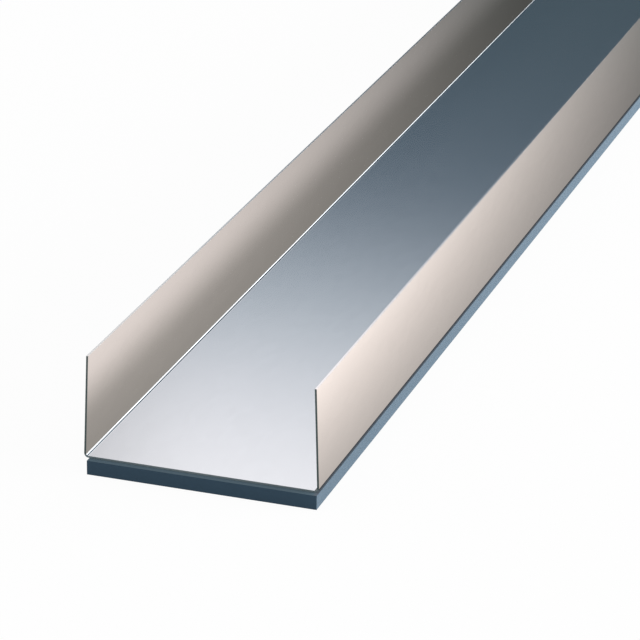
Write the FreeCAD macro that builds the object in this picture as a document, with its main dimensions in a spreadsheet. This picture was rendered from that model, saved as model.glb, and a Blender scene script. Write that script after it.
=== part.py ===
# Drywall track: a channel rolled from thin galvanised sheet, with a foam sealing strip stuck under its web.
# It lies on the strip with its flanges up.  X runs across the track, Y along it and Z up, and the origin is on the
# floor under the middle of the track.  Lengths are in millimetres and angles in degrees.
import FreeCAD, Part
import math
import os
import Sketcher

# Driving dimensions: the name of each cell, its value and what it measures.
DIMENSIONS = [
    ("track_length", 3000.0, "length of the steel channel, as it is sold"),
    ("web_width", 72.0, "width across the web outside, which takes studs of 70"),
    ("flange_height", 32.0, "from the underside of the web to the tip of a flange"),
    ("sheet_gauge", 0.6, "thickness of the galvanised sheet"),
    ("bend_radius", 0.8, "radius inside the two long bends"),
    ("toe_in", 2.0, "lean of each flange towards the other, so that the pair grips a stud"),
    ("strip_width", 70.4, "width of the foam strip"),
    ("strip_thickness", 4.4, "thickness of the foam strip before it is pressed"),
    ("strip_overhang", 2.0, "how far the strip stands out past each end of the channel"),
    ("strip_shift", 0.8, "how far the strip lies off the middle of the web, towards +X"),
]
SIZE = {name: value for name, value, meaning in DIMENSIONS}

# Sketch points: the start, end and centre of a curve, and the origin, which is the start of the sketch's own x axis.
START, END, CENTRE = 1, 2, 3
ORIGIN = (-1, START)
QUARTER_TURN = math.pi / 2


def start_document():
    """Makes the document and fills the sheet that every size in it is bound to."""
    document = FreeCAD.newDocument("drywall_track")
    sheet = document.addObject("Spreadsheet::Sheet", "dimensions")
    for row, (name, value, meaning) in enumerate(DIMENSIONS, start=1):
        sheet.set(f"A{row}", name)
        sheet.set(f"B{row}", str(value))
        sheet.set(f"C{row}", meaning)
        sheet.setAlias(f"B{row}", name)
    document.recompute()
    return document


def start_body(document, name):
    """Makes an empty body that carries its piece's name."""
    body = document.addObject("PartDesign::Body", name)
    body.Label = name
    return body


def origin_plane(body, role):
    return next(feature for feature in body.Origin.OriginFeatures if feature.Role == role)


def start_section(body, name):
    """Makes a sketch across the track, with X to the right and Z up."""
    sketch = body.newObject("Sketcher::SketchObject", name)
    sketch.AttachmentSupport = [(origin_plane(body, "XZ_Plane"), "")]
    sketch.MapMode = "FlatFace"
    return sketch


def add_line(sketch, start, end):
    return sketch.addGeometry(Part.LineSegment(FreeCAD.Vector(*start, 0), FreeCAD.Vector(*end, 0)))


def add_quarter_bend(sketch, centre, radius):
    """Draws the lower right quarter of a circle, from its lowest point to its right-hand one."""
    circle = Part.Circle(FreeCAD.Vector(*centre, 0), FreeCAD.Vector(0, 0, 1), radius)
    return sketch.addGeometry(Part.ArcOfCircle(circle, -QUARTER_TURN, 0.0))


def relate(sketch, kind, *references):
    sketch.addConstraint(Sketcher.Constraint(kind, *references))


def measure(sketch, name, expression, kind, *references):
    """Adds a named dimension to the sketch and binds it to the sheet.  Its first value is replaced at once."""
    index = sketch.addConstraint(Sketcher.Constraint(kind, *references, 1.0))
    sketch.renameConstraint(index, name)
    sketch.setExpression(f"Constraints.{name}", expression)


def pad_along_track(body, sketch, name, length):
    """Extrudes a section along the track, by half of the length to each side of the middle."""
    pad = body.newObject("PartDesign::Pad", name)
    pad.Profile = sketch
    pad.Midplane = True
    pad.setExpression("Length", length)
    return pad


def draw_half_channel(sketch):
    """Draws half of the web, the bend at its edge and the flange that stands on it, all of one sheet."""
    half_width = SIZE["web_width"] / 2
    gauge = SIZE["sheet_gauge"]
    outside_radius = SIZE["bend_radius"] + gauge
    bend_centre = (half_width - outside_radius, outside_radius)
    tip_height = SIZE["flange_height"]

    web_underside = add_line(sketch, (0, 0), (bend_centre[0], 0))
    outside_bend = add_quarter_bend(sketch, bend_centre, outside_radius)
    flange_outside = add_line(sketch, (half_width, outside_radius), (half_width, tip_height))
    flange_tip = add_line(sketch, (half_width, tip_height), (half_width - gauge, tip_height))
    flange_inside = add_line(sketch, (half_width - gauge, tip_height), (half_width - gauge, outside_radius))
    inside_bend = add_quarter_bend(sketch, bend_centre, SIZE["bend_radius"])
    web_top = add_line(sketch, (bend_centre[0], gauge), (0, gauge))
    middle = add_line(sketch, (0, gauge), (0, 0))

    relate(sketch, "Coincident", web_underside, START, *ORIGIN)
    relate(sketch, "Coincident", middle, END, web_underside, START)
    relate(sketch, "Coincident", web_top, END, middle, START)
    relate(sketch, "Coincident", flange_outside, END, flange_tip, START)
    relate(sketch, "Coincident", flange_tip, END, flange_inside, START)
    relate(sketch, "Coincident", outside_bend, CENTRE, inside_bend, CENTRE)
    relate(sketch, "Tangent", web_underside, END, outside_bend, START)
    relate(sketch, "Tangent", outside_bend, END, flange_outside, START)
    relate(sketch, "Tangent", flange_inside, END, inside_bend, END)
    relate(sketch, "Tangent", inside_bend, START, web_top, START)
    relate(sketch, "Horizontal", web_underside)
    relate(sketch, "Horizontal", web_top)
    relate(sketch, "Vertical", middle)
    relate(sketch, "Parallel", flange_outside, flange_inside)
    relate(sketch, "Perpendicular", flange_outside, flange_tip)

    measure(sketch, "gauge", "dimensions.sheet_gauge", "DistanceY", middle, END, middle, START)
    measure(sketch, "bend", "dimensions.bend_radius", "Radius", inside_bend)
    bend_reach = "dimensions.web_width / 2 - dimensions.bend_radius - dimensions.sheet_gauge"
    measure(sketch, "reach", bend_reach, "DistanceX", *ORIGIN, outside_bend, CENTRE)
    measure(sketch, "lean", "90 deg + dimensions.toe_in * 1 deg", "Angle", flange_outside)
    measure(sketch, "height", "dimensions.flange_height", "DistanceY", *ORIGIN, flange_outside, END)


def draw_strip(sketch):
    """Draws the strip's plain oblong section, standing on the floor."""
    right = SIZE["strip_shift"] + SIZE["strip_width"] / 2
    left = right - SIZE["strip_width"]
    top = SIZE["strip_thickness"]
    corners = [(left, 0), (right, 0), (right, top), (left, top)]
    sides = [add_line(sketch, start, end) for start, end in zip(corners, corners[1:] + corners[:1])]
    underside, right_side, upper_side, left_side = sides

    for side, following in zip(sides, sides[1:] + sides[:1]):
        relate(sketch, "Coincident", side, END, following, START)
    for level in (underside, upper_side):
        relate(sketch, "Horizontal", level)
    for upright in (right_side, left_side):
        relate(sketch, "Vertical", upright)

    measure(sketch, "width", "dimensions.strip_width", "DistanceX", underside, START, underside, END)
    measure(sketch, "thickness", "dimensions.strip_thickness", "DistanceY", right_side, START, right_side, END)
    right_reach = "dimensions.strip_width / 2 + dimensions.strip_shift"
    measure(sketch, "right_reach", right_reach, "DistanceX", *ORIGIN, underside, END)
    relate(sketch, "PointOnObject", underside, END, ORIGIN[0])


def build_track(document):
    """The channel is one sheet: half of its section is run along the track and mirrored, so the flanges match."""
    body = start_body(document, "track")
    section = start_section(body, "half_channel")
    draw_half_channel(section)
    half = pad_along_track(body, section, "half_track", "dimensions.track_length")
    document.recompute()
    both = body.newObject("PartDesign::Mirrored", "both_halves")
    both.Originals = [half]
    both.MirrorPlane = (origin_plane(body, "YZ_Plane"), [""])
    body.Tip = both
    body.setExpression("Placement.Base.z", "dimensions.strip_thickness")
    return body


def build_sealing_strip(document):
    """The strip is cut a little longer than the channel and stuck on along one edge of the web."""
    body = start_body(document, "sealing_strip")
    section = start_section(body, "strip_section")
    draw_strip(section)
    pad_along_track(body, section, "strip", "dimensions.track_length + 2 * dimensions.strip_overhang")
    return body


def sheet_volume():
    """Works out the channel's volume from its flat blank: rolling leaves the thickness of the sheet as it was."""
    toe_in = math.radians(SIZE["toe_in"])
    gauge = SIZE["sheet_gauge"]
    outside_radius = SIZE["bend_radius"] + gauge
    web = SIZE["web_width"] - 2 * outside_radius
    bend = (QUARTER_TURN + toe_in) * (outside_radius - gauge / 2)
    flange = (SIZE["flange_height"] - outside_radius * (1 + math.sin(toe_in))) / math.cos(toe_in)
    return (web + 2 * bend + 2 * flange) * gauge * SIZE["track_length"]


def strip_volume():
    length = SIZE["track_length"] + 2 * SIZE["strip_overhang"]
    return length * SIZE["strip_width"] * SIZE["strip_thickness"]


def check_document(document):
    """Stops the build on any feature that failed and on any section that is free to move."""
    for item in document.Objects:
        if {"Invalid", "Error"} & set(item.State):
            raise RuntimeError(f"{item.Label} failed: {item.State}")
        if item.TypeId == "Sketcher::SketchObject" and not item.FullyConstrained:
            raise RuntimeError(f"{item.Label} isn't fully constrained")


def check_piece(piece, expected_volume):
    """Stops the build on a piece that isn't one sound solid of the volume its sizes call for."""
    shape = piece.Shape
    if shape.isNull() or not shape.isValid() or len(shape.Solids) != 1:
        raise RuntimeError(f"{piece.Label} isn't one sound solid")
    if not math.isclose(shape.Volume, expected_volume, rel_tol=1e-4):
        raise RuntimeError(f"{piece.Label} has {shape.Volume:.1f} mm3 in place of {expected_volume:.1f}")
    print(f"{piece.Label}: {shape.Volume:.1f} mm3, {len(shape.Faces)} faces, {shape.BoundBox}")


document = start_document()
pieces = [
    (build_track(document), sheet_volume()),
    (build_sealing_strip(document), strip_volume()),
]
document.recompute()
check_document(document)
os.makedirs("parts", exist_ok=True)
for piece, expected_volume in pieces:
    check_piece(piece, expected_volume)
for piece, expected_volume in pieces:
    piece.Shape.exportStep(f"parts/{piece.Label}.step")
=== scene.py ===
# A drywall track on a pale floor: a thin galvanised channel with a foam sealing strip stuck under its web.
# X runs across the track, Y along it and Z up, in metres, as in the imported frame.
import math

import bmesh
import bpy
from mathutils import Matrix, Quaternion, Vector


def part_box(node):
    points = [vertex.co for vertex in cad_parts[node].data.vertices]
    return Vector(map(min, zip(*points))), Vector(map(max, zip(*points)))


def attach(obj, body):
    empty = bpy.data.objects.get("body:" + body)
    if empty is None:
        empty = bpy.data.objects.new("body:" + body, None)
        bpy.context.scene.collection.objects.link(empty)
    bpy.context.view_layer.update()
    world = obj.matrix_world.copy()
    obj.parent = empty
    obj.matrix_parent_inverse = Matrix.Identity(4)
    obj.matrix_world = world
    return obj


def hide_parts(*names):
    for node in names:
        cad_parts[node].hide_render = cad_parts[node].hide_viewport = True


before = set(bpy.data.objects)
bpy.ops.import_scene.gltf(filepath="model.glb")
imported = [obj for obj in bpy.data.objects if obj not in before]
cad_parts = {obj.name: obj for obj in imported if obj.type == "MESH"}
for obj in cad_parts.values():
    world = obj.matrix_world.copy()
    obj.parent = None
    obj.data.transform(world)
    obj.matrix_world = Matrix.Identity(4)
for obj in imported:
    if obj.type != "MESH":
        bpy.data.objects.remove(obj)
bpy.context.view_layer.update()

# The track is one strip of hot-dip galvanised steel, 0.6 mm thick, rolled cold to a channel with round
# bends. Its flanges lean in to grip the studs. Slitting leaves their tips sloped a little and the left one
# dull and a little darker. The right tip is painted lighter, a painted highlight. A shear has cut the two
# ends, where the bare steel is dark, and the web's end is painted lighter there, as painted light.
track_low, track_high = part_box("track")
GAUGE = 0.0006
OUTSIDE_RADIUS = 0.0014
TOE_IN = math.radians(2.0)
BEND_SEGMENTS = 14
LEFT_TIP_SLOPE = math.tan(math.radians(2.5))
RIGHT_TIP_SLOPE = math.tan(math.radians(5.0))
EDGE_ROUNDING = 0.00003
EDGE_SEGMENTS = 2
CUT_END_TURN = 0.2
CUT_END_MATERIAL = 1


def round_edges(shape, edges, size, segments):
    bmesh.ops.bevel(
        shape, geom=edges, offset=size, offset_type="OFFSET", segments=segments,
        profile=0.5, affect="EDGES", material=-1,
    )


def sharp_edges(shape):
    """The edges where two faces meet at more than half of a right angle."""
    return [edge for edge in shape.edges if edge.calc_face_angle(0.0) > math.pi / 4]


def run_along_track(shape, edges):
    """Extrudes edges that stand at the near end of the track to its far end."""
    made = bmesh.ops.extrude_edge_only(shape, edges=edges)["geom"]
    far_points = [item for item in made if isinstance(item, bmesh.types.BMVert)]
    bmesh.ops.translate(shape, verts=far_points, vec=(0, track_high.y - track_low.y, 0))


def slope_tips(shape, half_mouth):
    """Lowers each flange's tip a little towards the right, the way that slitting the sheet leaves it."""
    for corner in shape.verts:
        if corner.co.z > track_high.z - GAUGE / 2:
            on_right = corner.co.x > 0
            left_corner = half_mouth - GAUGE if on_right else -half_mouth
            slope = RIGHT_TIP_SLOPE if on_right else LEFT_TIP_SLOPE
            corner.co.z = track_high.z - slope * (corner.co.x - left_corner)


def on_cut_end(face):
    """Whether a face is on a sheared end of the track, the rounding of its edges included."""
    return abs(face.normal.y) > CUT_END_TURN


def channel_shape():
    """Folds the sheet's outside, rounds its bends, thickens it inwards and finishes its cut edges."""
    shape = bmesh.new()
    flange_height = track_high.z - track_low.z
    bend_reach = OUTSIDE_RADIUS / math.tan((math.pi / 2 - TOE_IN) / 2)
    half_web = track_high.x - OUTSIDE_RADIUS + bend_reach
    half_mouth = half_web - flange_height * math.tan(TOE_IN)
    outline = [
        (-half_mouth, track_high.z),
        (-half_web, track_low.z),
        (half_web, track_low.z),
        (half_mouth, track_high.z),
    ]
    points = [shape.verts.new((x, track_low.y, z)) for x, z in outline]
    run_along_track(shape, [shape.edges.new(pair) for pair in zip(points, points[1:])])
    bends = [edge for edge in shape.edges if len(edge.link_faces) == 2]
    round_edges(shape, bends, bend_reach, BEND_SEGMENTS)
    bmesh.ops.recalc_face_normals(shape, faces=shape.faces[:])
    bmesh.ops.solidify(shape, geom=shape.faces[:], thickness=GAUGE)
    bmesh.ops.recalc_face_normals(shape, faces=shape.faces[:])
    slope_tips(shape, half_mouth)
    round_edges(shape, sharp_edges(shape), EDGE_ROUNDING, EDGE_SEGMENTS)
    for face in shape.faces:
        if on_cut_end(face):
            face.material_index = CUT_END_MATERIAL
    return shape


class Link:
    """An output in a node tree. Operators on it add Math nodes, and node() adds a node of any kind."""

    def __init__(self, tree, output=None):
        self.tree = tree
        self.output = output

    def node(self, kind, settings, inputs, output=0):
        """Adds a node, sets it up, fills its sockets with values or links, and returns an output of it."""
        made = self.tree.nodes.new(kind)
        for name, value in settings.items():
            if name == "stops":
                self.set_stops(made.color_ramp, value)
            else:
                setattr(made, name, value)
        for name, value in inputs.items():
            if isinstance(value, Link):
                self.tree.links.new(value.output, made.inputs[name])
            else:
                made.inputs[name].default_value = value
        return Link(self.tree, made.outputs[output] if made.outputs else None)

    @staticmethod
    def set_stops(ramp, stops):
        """Gives a ramp its stops, each a place from 0 to 1 and a colour."""
        while len(ramp.elements) < len(stops):
            ramp.elements.new(1.0)
        for element, (position, colour) in zip(ramp.elements, stops):
            element.position = position
            element.color = colour

    def beside(self, name):
        """Another output of the node that this one comes from."""
        return Link(self.tree, self.output.node.outputs[name])

    def maths(self, operation, first, second=0.0):
        return self.node("ShaderNodeMath", {"operation": operation}, {0: first, 1: second})

    def __add__(self, other):
        return self.maths("ADD", self, other)

    def __sub__(self, other):
        return self.maths("SUBTRACT", self, other)

    def __rsub__(self, other):
        return self.maths("SUBTRACT", other, self)

    def __mul__(self, other):
        return self.maths("MULTIPLY", self, other)

    def __lt__(self, other):
        return self.maths("LESS_THAN", self, other)

    def __or__(self, other):
        return self.maths("MAXIMUM", self, other)

    def __abs__(self):
        return self.maths("ABSOLUTE", self)

    __radd__ = __add__
    __rmul__ = __mul__


def new_material(name):
    """Makes an empty material and returns it with a link to its node tree."""
    material = bpy.data.materials.new(name)
    material.use_nodes = True
    material.node_tree.nodes.clear()
    return material, Link(material.node_tree)


def finish_surface(shader):
    shader.node("ShaderNodeOutputMaterial", {}, {"Surface": shader})


def place_on_piece(nodes):
    """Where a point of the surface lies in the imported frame."""
    return nodes.node("ShaderNodeTexCoord", {}, {}, "Object")


def across_along_up(place):
    """A place's distances across the track, along it and up."""
    across = place.node("ShaderNodeSeparateXYZ", {}, {"Vector": place}, "X")
    return across, across.beside("Y"), across.beside("Z")


def drawn_out(place, along):
    """Places for marks that rolling has drawn out, with this many along the track for each one across."""
    return place.node("ShaderNodeMapping", {}, {"Vector": place, "Scale": (1.0, along, 1.0)})


def soft_marks(place, per_metre, detail, roughness=0.5):
    """Random soft marks, about so many to a metre."""
    return place.node(
        "ShaderNodeTexNoise", {},
        {"Vector": place, "Scale": per_metre, "Detail": detail, "Roughness": roughness},
    )


def even_rise(value, low, high, curve="LINEAR"):
    """Rises from 0 at low to 1 at high, evenly unless another curve is given."""
    return value.node(
        "ShaderNodeMapRange", {"interpolation_type": curve},
        {"Value": value, "From Min": low, "From Max": high}, "Result",
    )


def soft_rise(value, low, high):
    """Rises from 0 at low to 1 at high, and levels off softly at both."""
    return even_rise(value, low, high, "SMOOTHSTEP")


def toned(colour, tone):
    """A colour made lighter or darker by a tone that changes over the surface."""
    return tone.node("ShaderNodeVectorMath", {"operation": "SCALE"}, {0: colour, "Scale": tone})


# The Mix node has sockets for each kind of value. These are the numbers of those for colours.
FIRST_COLOUR = 6
SECOND_COLOUR = 7
MIXED_COLOUR = 2


def blended(share, first, second):
    """A colour that goes from the first to the second as the share goes from 0 to 1."""
    inputs = {"Factor": share, FIRST_COLOUR: first, SECOND_COLOUR: second}
    return share.node("ShaderNodeMix", {"data_type": "RGBA"}, inputs, MIXED_COLOUR)


def relief(height, strength, depth):
    """A surface direction that shows a height as fine relief."""
    return height.node("ShaderNodeBump", {}, {"Height": height, "Strength": strength, "Distance": depth})


ZINC = (0.75, 0.74, 0.725)
CRYSTALS_PER_METRE = 420.0
CRYSTALS_ALONG = 0.35
LINES_PER_METRE = 1500.0
LINES_ALONG = 0.004
CLOUDS_PER_METRE = 30.0
CLOUDS_ALONG = 0.2
ZINC_TONE = 0.975
CRYSTAL_TONE = 0.02
LINE_TONE = 0.01
CLOUD_TONE = 0.015
ZINC_ROUGHNESS = 0.109
CRYSTAL_ROUGHNESS = 0.002
LINE_ROUGHNESS = 0.003
CLOUD_ROUGHNESS = 0.003
LEFT_TIP = (0.73, 0.70, 0.655, 1)
LEFT_TIP_ROUGHNESS = 0.035
# The right tip's colour is lighter than the zinc, a painted highlight.
RIGHT_TIP_HIGHLIGHT = (0.86, 0.805, 0.768, 1)
TIP_DEPTH = 0.0001
TIP_SOFTNESS = 0.00002
LINE_RELIEF = 0.004
LINE_DEPTH = 0.00002


def galvanised_sheet():
    """Zinc with faint crystals, fine lines from the rollers, a slightly uneven sheen and slit tips; the
    right tip has a painted highlight.
    """
    material, nodes = new_material("galvanised_sheet")
    place = place_on_piece(nodes)
    crystal_colours = nodes.node(
        "ShaderNodeTexVoronoi", {},
        {"Vector": drawn_out(place, CRYSTALS_ALONG), "Scale": CRYSTALS_PER_METRE}, "Color",
    )
    crystals = nodes.node("ShaderNodeSeparateColor", {}, {"Color": crystal_colours}, "Red")
    lines = soft_marks(drawn_out(place, LINES_ALONG), LINES_PER_METRE, detail=3.0, roughness=0.6)
    clouds = soft_marks(drawn_out(place, CLOUDS_ALONG), CLOUDS_PER_METRE, detail=2.0)
    tone = ZINC_TONE + CRYSTAL_TONE * crystals + LINE_TONE * lines + CLOUD_TONE * clouds
    across, _, height = across_along_up(place)
    tip_foot = track_high.z - TIP_DEPTH
    on_tip = soft_rise(height, tip_foot, tip_foot + TIP_SOFTNESS)
    on_left = across < 0.0
    # The right tip's lighter colour is a painted highlight.
    tip_colour_and_highlight = blended(on_left, RIGHT_TIP_HIGHLIGHT, LEFT_TIP)
    marks_roughness = CRYSTAL_ROUGHNESS * crystals + LINE_ROUGHNESS * lines + CLOUD_ROUGHNESS * clouds
    finish_surface(nodes.node(
        "ShaderNodeBsdfPrincipled", {},
        {
            "Base Color": blended(on_tip, toned(ZINC, tone), tip_colour_and_highlight), "Metallic": 1.0,
            "Roughness": ZINC_ROUGHNESS + marks_roughness + LEFT_TIP_ROUGHNESS * on_left * on_tip,
            "Normal": relief(lines, LINE_RELIEF, LINE_DEPTH),
        },
    ))
    return material


# The web's cut end is the same bare steel as the flanges' ends; its lighter colour is painted light.
PAINTED_LIGHT_WEB_END = (0.185, 0.240, 0.260, 1)
FLANGE_END = (0.056, 0.089, 0.088, 1)
STREAKS_PER_METRE = 2500.0
END_TONE = 0.8
STREAK_TONE = 0.4
END_ROUGHNESS = 0.45
STREAK_ROUGHNESS = 0.2


def sheared_steel():
    """The cut ends: bare dark steel with the streaks that a shear leaves, painted lighter along the web as
    painted light.
    """
    material, nodes = new_material("sheared_steel")
    place = place_on_piece(nodes)
    _, _, height = across_along_up(place)
    on_flange = soft_rise(height, track_low.z + GAUGE, track_low.z + OUTSIDE_RADIUS)
    # The web's end is painted lighter than the flanges' ends, as painted light.
    bare_steel_and_painted_light = blended(on_flange, PAINTED_LIGHT_WEB_END, FLANGE_END)
    streaks = soft_marks(place, STREAKS_PER_METRE, detail=3.0)
    finish_surface(nodes.node(
        "ShaderNodeBsdfPrincipled", {},
        {
            "Base Color": toned(bare_steel_and_painted_light, END_TONE + STREAK_TONE * streaks),
            "Roughness": END_ROUGHNESS + STREAK_ROUGHNESS * streaks,
        },
    ))
    return material


def new_object(name, shape, materials):
    """Turns a shape into an object of the scene, with its place in its mesh."""
    mesh = bpy.data.meshes.new(name)
    shape.to_mesh(mesh)
    shape.free()
    for material in materials:
        mesh.materials.append(material)
    made = bpy.data.objects.new(name, mesh)
    bpy.context.scene.collection.objects.link(made)
    return made


LARGE_FACE_WEIGHT = 100


def finished_piece(name, shape, materials):
    """Makes a piece whose flat faces look even up to their rounded edges and that no metal mirrors."""
    for face in shape.faces:
        face.smooth = True
    piece = new_object(name, shape, materials)
    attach(piece, "root")
    flat_faces = piece.modifiers.new("flat_faces", "WEIGHTED_NORMAL")
    flat_faces.mode = "FACE_AREA"
    flat_faces.weight = LARGE_FACE_WEIGHT
    piece.visible_glossy = False
    return piece


track = finished_piece("galvanised_track", channel_shape(), [galvanised_sheet(), sheared_steel()])
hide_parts("track")

# The sealing strip is closed-cell polyethylene foam, slit from sheet and cut to length with a knife.
# A film of glue on its top holds it under the web. Under the right bend the top has a colour of its own
# that stands in as painted shade in the crevice.
# It is flush with the right flange and stands out a little past both ends of the track.
strip_low, strip_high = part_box("sealing_strip")
STRIP_ROUNDING = 0.00004
STRIP_SEGMENTS = 2
FOAM = (0.028, 0.061, 0.095)
GLUE_FILM = (0.0735, 0.113, 0.141, 1)
# Under the right bend the top takes this colour instead of the film's, as painted shade in the crevice.
CREVICE_SHADE = (0.096, 0.119, 0.147, 1)
CELLS_PER_METRE = 2600.0
MOTTLES_PER_METRE = 350.0
FOAM_TONE = 0.91
CELL_TONE = 0.08
MOTTLE_TONE = 0.10
SKIN_ROUGHNESS = 0.34
SKIN_MOTTLE_ROUGHNESS = 0.12
GLUE_ROUGHNESS = 0.6
GLUE_MOTTLE_ROUGHNESS = 0.2
MOTTLE_RELIEF = 0.5
SKIN_RELIEF = 0.07
SKIN_DEPTH = 0.0001
SKIN_SHEEN = 1.0
SKIN_SHEEN_ROUGHNESS = 0.35
SKIN_SHEEN_TINT = (0.60, 0.815, 1.0, 1)
SKIN_GLOSS = 0.15
GLUE_GLOSS = 0.1


def closed_cell_foam():
    """Slate-blue foam: a mottled skin of tiny closed cells with a soft sheen, the glue on its top and
    painted shade under the right bend.
    """
    material, nodes = new_material("closed_cell_foam")
    place = place_on_piece(nodes)
    cells = nodes.node("ShaderNodeTexVoronoi", {}, {"Vector": place, "Scale": CELLS_PER_METRE}, "Distance")
    mottle = soft_marks(place, MOTTLES_PER_METRE, detail=4.0, roughness=0.6)
    tone = FOAM_TONE + CELL_TONE * cells + MOTTLE_TONE * mottle
    across, _, height = across_along_up(place)
    # This share marks where the top under the right bend takes the painted crevice shade.
    shade_under_bend = soft_rise(across, track_high.x - OUTSIDE_RADIUS, track_high.x - OUTSIDE_RADIUS / 2)
    on_top = soft_rise(height, strip_high.z - STRIP_ROUNDING, strip_high.z - STRIP_ROUNDING / 2)
    skin = nodes.node(
        "ShaderNodeBsdfPrincipled", {},
        {
            "Base Color": toned(FOAM, tone),
            "Roughness": SKIN_ROUGHNESS + SKIN_MOTTLE_ROUGHNESS * mottle,
            "Normal": relief(cells + MOTTLE_RELIEF * mottle, SKIN_RELIEF, SKIN_DEPTH),
            "Sheen Weight": SKIN_SHEEN, "Sheen Roughness": SKIN_SHEEN_ROUGHNESS,
            "Sheen Tint": SKIN_SHEEN_TINT, "Specular IOR Level": SKIN_GLOSS,
        },
    )
    glue = nodes.node(
        "ShaderNodeBsdfPrincipled", {},
        {
            "Base Color": toned(blended(shade_under_bend, GLUE_FILM, CREVICE_SHADE), tone),
            "Roughness": GLUE_ROUGHNESS + GLUE_MOTTLE_ROUGHNESS * mottle,
            "Specular IOR Level": GLUE_GLOSS,
        },
    )
    finish_surface(nodes.node("ShaderNodeMixShader", {}, {0: on_top, 1: skin, 2: glue}))
    return material


foam = bmesh.new()
bmesh.ops.create_cube(foam, size=1.0)
bmesh.ops.scale(foam, vec=strip_high - strip_low, verts=foam.verts)
bmesh.ops.translate(foam, vec=(strip_low + strip_high) / 2, verts=foam.verts)
round_edges(foam, foam.edges[:], STRIP_ROUNDING, STRIP_SEGMENTS)
strip = finished_piece("foam_sealing_strip", foam, [closed_cell_foam()])
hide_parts("sealing_strip")

# The floor is a wide pale board that the track lies on.
# The camera and polished surfaces see it nearly white, and what is left of its own colour keeps the shadow.
FLOOR_HALF_SIDE = 120.0
FLOOR_WHITE_SHARE = 0.95
FLOOR_COLOUR = (0.72, 0.72, 0.72, 1)
WHITE = (1, 1, 1, 1)


def pale_floor():
    material, nodes = new_material("pale_floor")
    material.cycles.emission_sampling = "NONE"
    camera_ray = nodes.node("ShaderNodeLightPath", {}, {}, "Is Camera Ray")
    seen = camera_ray | camera_ray.beside("Is Glossy Ray") | camera_ray.beside("Is Transmission Ray")
    lit = nodes.node("ShaderNodeBsdfDiffuse", {}, {"Color": FLOOR_COLOUR})
    white = nodes.node("ShaderNodeEmission", {}, {"Color": WHITE})
    finish_surface(nodes.node("ShaderNodeMixShader", {}, {0: FLOOR_WHITE_SHARE * seen, 1: lit, 2: white}))
    return material


board = bmesh.new()
bmesh.ops.create_grid(board, x_segments=1, y_segments=1, size=FLOOR_HALF_SIDE)
floor = new_object("floor", board, [pale_floor()])

# A graduated card lies level with the top of the strip, and only polished surfaces see it.
# It is dark along the feet of the flanges, a painted shadow that the flanges mirror, and lighter away from
# them. Away from the ends of the track it is darker all over, a painted shade, though less so half-way
# along.
CARD_HALF_WIDTH = 0.11
CARD_PAST_END = 0.3
CARD_DROP = 0.00005
OUTER_REACH = 0.0303
OUTER_CURVE = 0.38
OUTER_DARK = (0.600, 0.553, 0.525, 1)
OUTER_LIGHT = (1.400, 1.255, 1.188, 1)
INNER_REACH = 0.0257
INNER_SLOPE_START = 0.0034
INNER_SLOPE = 0.25
INNER_STEP_START = 0.0094
INNER_DARK = (0.377, 0.354, 0.330, 1)
INNER_LIGHT = (0.978, 0.887, 0.849, 1)
# The dark line along the feet of the flanges is a painted shadow.
FOOT_SHADOW = (0.03, 0.036, 0.045, 1)
FOOT_SHADOW_START = 0.0003
FOOT_SHADOW_END = 0.0010
FADED = (0.188, 0.211, 0.216, 1)
FADE_START = 0.02
FADE_END = 0.57
MIDDLE_START = 0.7
MIDDLE_END = 1.4
MIDDLE_RETURN = 0.6


def graduated_card():
    material, nodes = new_material("graduated_card")
    across, along, _ = across_along_up(place_on_piece(nodes))
    from_middle = abs(across)
    from_foot = abs(from_middle - track_high.x)
    outward = even_rise(from_foot, 0.0, OUTER_REACH)
    outer = blended(outward * (1 - OUTER_CURVE + OUTER_CURVE * outward), OUTER_DARK, OUTER_LIGHT)
    slope = even_rise(from_foot, INNER_SLOPE_START, INNER_REACH)
    step = soft_rise(from_foot, INNER_STEP_START, INNER_REACH)
    inner = blended(INNER_SLOPE * slope + (1 - INNER_SLOPE) * step, INNER_DARK, INNER_LIGHT)
    shaded = blended(from_middle < track_high.x, outer, inner)
    # The dark line along each foot is a painted shadow.
    with_foot_shadow = blended(soft_rise(from_foot, FOOT_SHADOW_START, FOOT_SHADOW_END), FOOT_SHADOW, shaded)
    from_end = track_high.y - abs(along)
    to_middle = soft_rise(from_end, MIDDLE_START, MIDDLE_END)
    fade = soft_rise(from_end, FADE_START, FADE_END) - MIDDLE_RETURN * to_middle
    faded = blended(fade, WHITE, FADED)
    colour = nodes.node("ShaderNodeVectorMath", {"operation": "MULTIPLY"}, {0: with_foot_shadow, 1: faded})
    finish_surface(nodes.node("ShaderNodeEmission", {}, {"Color": colour}))
    return material


def mirrored_card(name, shape, material):
    """Sets up a card that polished surfaces mirror and that nothing else sees."""
    material.cycles.emission_sampling = "NONE"
    card = new_object(name, shape, [material])
    card.visible_camera = False
    card.visible_diffuse = False
    card.visible_transmission = False
    card.visible_shadow = False


long_card = bmesh.new()
bmesh.ops.create_grid(long_card, x_segments=1, y_segments=1, size=1.0)
card_half_length = track_high.y + CARD_PAST_END
bmesh.ops.scale(long_card, vec=(CARD_HALF_WIDTH, card_half_length, 1), verts=long_card.verts)
bmesh.ops.translate(long_card, vec=(0, 0, track_low.z - CARD_DROP), verts=long_card.verts)
mirrored_card("graduated_card", long_card, graduated_card())

# A wedge-shaped card of a cool white stands to the right of the far end and faces the near end.
# Only polished surfaces see it, and the inside of the left bend draws it out to a bright line.
WHITE_CARD_PLACE = Vector((1.355, 1.40, 0.78))
WHITE_CARD_HALF_WIDTH = 0.58
WHITE_CARD_HALF_HEIGHT = 0.64
WHITE_CARD_TAPER = 0.68
WHITE_CARD_ROLL = math.radians(11.5)
WHITE_CARD_COLOUR = (0.93, 0.99, 1.06, 1)
WHITE_CARD_LIGHT = 2.2


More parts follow.
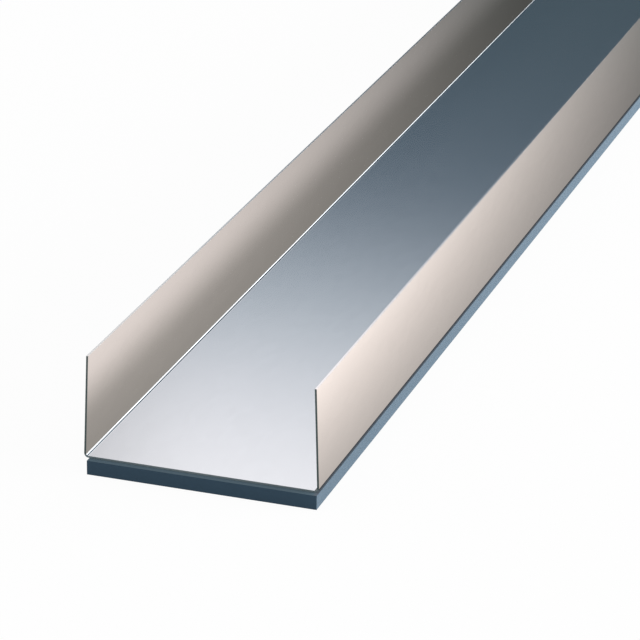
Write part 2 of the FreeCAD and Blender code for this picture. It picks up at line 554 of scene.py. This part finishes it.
def white_card():
    material, nodes = new_material("white_card")
    inputs = {"Color": WHITE_CARD_COLOUR, "Strength": WHITE_CARD_LIGHT}
    finish_surface(nodes.node("ShaderNodeEmission", {}, inputs))
    return material


wedge = bmesh.new()
bmesh.ops.create_grid(wedge, x_segments=1, y_segments=1, size=1.0)
for corner in wedge.verts:
    half_height = WHITE_CARD_HALF_HEIGHT * (1 + WHITE_CARD_TAPER * corner.co.x)
    corner.co = (WHITE_CARD_HALF_WIDTH * corner.co.x, half_height * corner.co.y, 0)
near_end = Vector((0, track_low.y, 0))
facing_end = (near_end - WHITE_CARD_PLACE).to_track_quat("Z", "Y")
turn = (facing_end @ Quaternion((0, 0, 1), WHITE_CARD_ROLL)).to_matrix()
bmesh.ops.rotate(wedge, cent=(0, 0, 0), matrix=turn, verts=wedge.verts)
bmesh.ops.translate(wedge, vec=WHITE_CARD_PLACE, verts=wedge.verts)
mirrored_card("white_card", wedge, white_card())

# The light is a soft sky, white overhead and grey low down at the sides and behind the camera. Past the
# far end it is dark low down, like a hill with a higher part on the right that leans to the left, and
# dimmer on the left. Each edge below is where a change starts and ends, as a share of a direction.
HILL_FOOT = math.sin(math.radians(17.0))
HILL_TOP = math.sin(math.radians(26.0))
HILL_SLOPE = 0.18
HILL_MIDDLE = -0.285
HILL_RISE = 0.12
HILL_RISE_LEAN = 0.45
HILL_RISE_EDGE = (0.0, 0.065)
SKY_STOPS = [
    (0.00, (0.062, 0.098, 0.126, 1)),
    (0.34, (0.07, 0.115, 0.17, 1)),
    (0.56, (0.475, 0.565, 0.66, 1)),
    (0.82, (1.12, 1.13, 1.215, 1)),
    (1.00, (1.22, 1.24, 1.305, 1)),
]
LEFT_DIMMING = 0.56
LEFT_DIMMING_EDGE = (-0.385, -0.315)
FAR_SKY_NEAR_EDGE = (0.25, 0.65)
FAR_SKY_LEFT_EDGE = (-0.62, -0.48)
FAR_SKY_RIGHT_EDGE = (0.56, 0.66)
SIDE_SKY = (0.75, 0.75, 0.75, 1)
SIDE_SKY_UPPER_EDGE = (0.0, 0.6)
NEAR_SKY = (0.32, 0.32, 0.33, 1)
NEAR_SKY_UPPER_EDGE = (0.1, 0.9)
NEAR_SKY_FAR_EDGE = (-0.6, 0.0)

world = bpy.data.worlds.new("soft_sky")
world.use_nodes = True
world.node_tree.nodes.clear()
bpy.context.scene.world = world
sky = Link(world.node_tree)
across, along, up = across_along_up(sky.node("ShaderNodeTexCoord", {}, {}, "Generated"))
leaning_across = across + HILL_RISE_LEAN * up
hill = HILL_SLOPE * (across - HILL_MIDDLE) + HILL_RISE * soft_rise(leaning_across, *HILL_RISE_EDGE)
above_hill = even_rise(up - hill, HILL_FOOT, HILL_TOP)
hill_light = sky.node("ShaderNodeValToRGB", {"stops": SKY_STOPS}, {"Fac": above_hill})
far_sky = toned(hill_light, 1 - LEFT_DIMMING * (1 - soft_rise(across, *LEFT_DIMMING_EDGE)))
far_share = soft_rise(along, *FAR_SKY_NEAR_EDGE) * (1 - soft_rise(across, *FAR_SKY_RIGHT_EDGE))
side_sky = blended(soft_rise(up, *SIDE_SKY_UPPER_EDGE), SIDE_SKY, WHITE)
near_sky = blended(soft_rise(up, *NEAR_SKY_UPPER_EDGE), NEAR_SKY, WHITE)
plain_sky = blended(soft_rise(along, *NEAR_SKY_FAR_EDGE), near_sky, side_sky)
whole_sky = blended(far_share * soft_rise(across, *FAR_SKY_LEFT_EDGE), plain_sky, far_sky)
background = sky.node("ShaderNodeBackground", {}, {"Color": whole_sky})
sky.node("ShaderNodeOutputWorld", {}, {"Surface": background})

# A soft lamp stands on the right and faces the middle of the track. It lights the strip's side and the
# floor, which keeps a faint shadow, and the metal is left to mirror the sky.
SOFTBOX_WIDTH = 4.0
SOFTBOX_HEIGHT = 1.6
SOFTBOX_WATTS = 155.0
SOFTBOX_PLACE = Vector((3.2, 0.0, 1.0))

softbox_data = bpy.data.lights.new("right_softbox", "AREA")
softbox_data.shape = "RECTANGLE"
softbox_data.size = SOFTBOX_WIDTH
softbox_data.size_y = SOFTBOX_HEIGHT
softbox_data.energy = SOFTBOX_WATTS
softbox = bpy.data.objects.new("right_softbox", softbox_data)
bpy.context.scene.collection.objects.link(softbox)
softbox.location = SOFTBOX_PLACE
softbox.rotation_euler = (-SOFTBOX_PLACE).to_track_quat("-Z", "Y").to_euler()
softbox.visible_camera = False
lit_by_softbox = bpy.data.collections.new("lit_by_softbox")
for lit_object in (strip, floor):
    lit_by_softbox.objects.link(lit_object)
softbox.light_linking.receiver_collection = lit_by_softbox

# The camera stands in front of the near end, to its right and well above it, with a long lens.
# Its place and its aim on the web are measured from the middle of the near end, and it is rolled a little.
SENSOR_WIDTH = 36.0
PICTURE_WIDTH = 640
FOCAL_PIXELS = 3453.8
CAMERA_RIGHT = 0.31772
CAMERA_IN_FRONT = 0.84578
CAMERA_UP = 0.41447
AIM_LEFT = 0.00536
AIM_BEYOND = 0.12291
CAMERA_ROLL = math.radians(0.743)

camera_data = bpy.data.cameras.new("camera")
camera_data.sensor_width = SENSOR_WIDTH
camera_data.lens = FOCAL_PIXELS / PICTURE_WIDTH * SENSOR_WIDTH
camera = bpy.data.objects.new("camera", camera_data)
bpy.context.scene.collection.objects.link(camera)
camera.location = (CAMERA_RIGHT, track_low.y - CAMERA_IN_FRONT, track_low.z + CAMERA_UP)
aim = Vector((-AIM_LEFT, track_low.y + AIM_BEYOND, track_low.z + GAUGE))
facing = (aim - camera.location).to_track_quat("-Z", "Y")
camera.rotation_mode = "QUATERNION"
camera.rotation_quaternion = facing @ Quaternion((0, 0, 1), CAMERA_ROLL)
bpy.context.scene.camera = camera
bpy.context.scene.view_settings.view_transform = "Standard"
